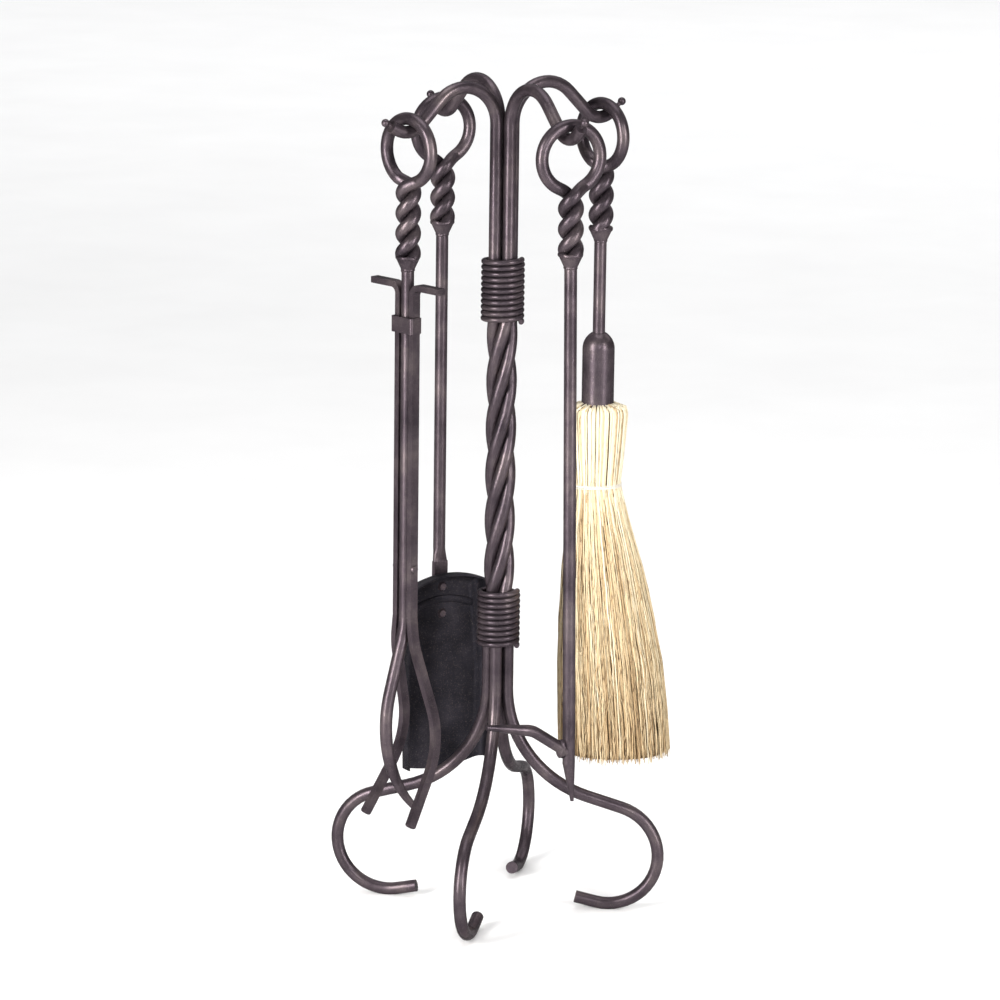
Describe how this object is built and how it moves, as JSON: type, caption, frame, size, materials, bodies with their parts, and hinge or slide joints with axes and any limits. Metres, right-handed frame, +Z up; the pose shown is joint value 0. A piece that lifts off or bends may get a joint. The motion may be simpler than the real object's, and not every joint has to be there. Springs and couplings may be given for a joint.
{
  "type": "fireplace tool set",
  "caption": "Free-standing wrought rod stand with a twisted post, curled feet and hooks that carry a poker, log tongs, an ash shovel and a straw hearth broom.",
  "frame": {"origin": "on the post's axis at floor level", "axes": "+Z up along the post; the four legs point along +X, +Y, -X and -Y; the hooks point along the diagonals, with the poker towards +X -Y, the tongs towards -X -Y, the shovel towards -X +Y and the broom towards +X +Y"},
  "size_m": [0.3499, 0.3506, 0.8613],
  "materials": {
    "bronze_paint": "satin bronze powder coat",
    "blade_paint": "satin dark bronze powder coat",
    "cotton_cord": "matte cord",
    "broom_straw": "matte broomcorn straw"
  },
  "bodies": {
    "stand": {"stand_rod_front_left": "bronze_paint", "stand_rod_front_right": "bronze_paint", "stand_rod_back_right": "bronze_paint", "stand_rod_back_left": "bronze_paint", "hook_finial_front_left": "bronze_paint", "hook_finial_front_right": "bronze_paint", "hook_finial_back_right": "bronze_paint", "hook_finial_back_left": "bronze_paint", "upper_coil_collar": "bronze_paint", "lower_coil_collar": "bronze_paint"},
    "poker": {"poker_handle": "bronze_paint", "poker_ferrule": "bronze_paint", "poker_shaft": "bronze_paint", "poker_prong": "bronze_paint"},
    "tongs": {"tongs_handle": "bronze_paint", "tongs_ferrule": "bronze_paint", "tongs_centre_rod": "bronze_paint"},
    "tongs_arms": {"tongs_left_arm": "bronze_paint", "tongs_right_arm": "bronze_paint", "tongs_strap": "bronze_paint", "tongs_pin": "bronze_paint"},
    "shovel": {"shovel_handle": "bronze_paint", "shovel_ferrule": "bronze_paint", "shovel_shaft": "bronze_paint", "shovel_blade": "blade_paint", "shovel_upper_rivet": "bronze_paint", "shovel_lower_rivet": "bronze_paint"},
    "broom": {"broom_handle": "bronze_paint", "broom_ferrule": "bronze_paint", "broom_shaft": "bronze_paint", "broom_socket": "bronze_paint", "broom_rim": "cotton_cord", "broom_straw": "broom_straw", "broom_binding": "cotton_cord"}
  },
  "joints": [
    {"name": "poker_lift_off", "type": "slide", "parent": "stand", "child": "poker", "axis": [0.5417, -0.5417, 0.6428], "range_m": [0, 0.3]},
    {"name": "tongs_lift_off", "type": "slide", "parent": "stand", "child": "tongs", "axis": [-0.5417, -0.5417, 0.6428], "range_m": [0, 0.3]},
    {"name": "shovel_lift_off", "type": "slide", "parent": "stand", "child": "shovel", "axis": [-0.5417, 0.5417, 0.6428], "range_m": [0, 0.3]},
    {"name": "broom_lift_off", "type": "slide", "parent": "stand", "child": "broom", "axis": [0.5417, 0.5417, 0.6428], "range_m": [0, 0.3]},
    {"name": "tongs_open", "type": "hinge", "parent": "tongs", "child": "tongs_arms", "pos_m": [-0.07955, -0.07955, 0.37319], "axis": [0.829, -0.5592, 0], "range_deg": [0, 16]}
  ]
}
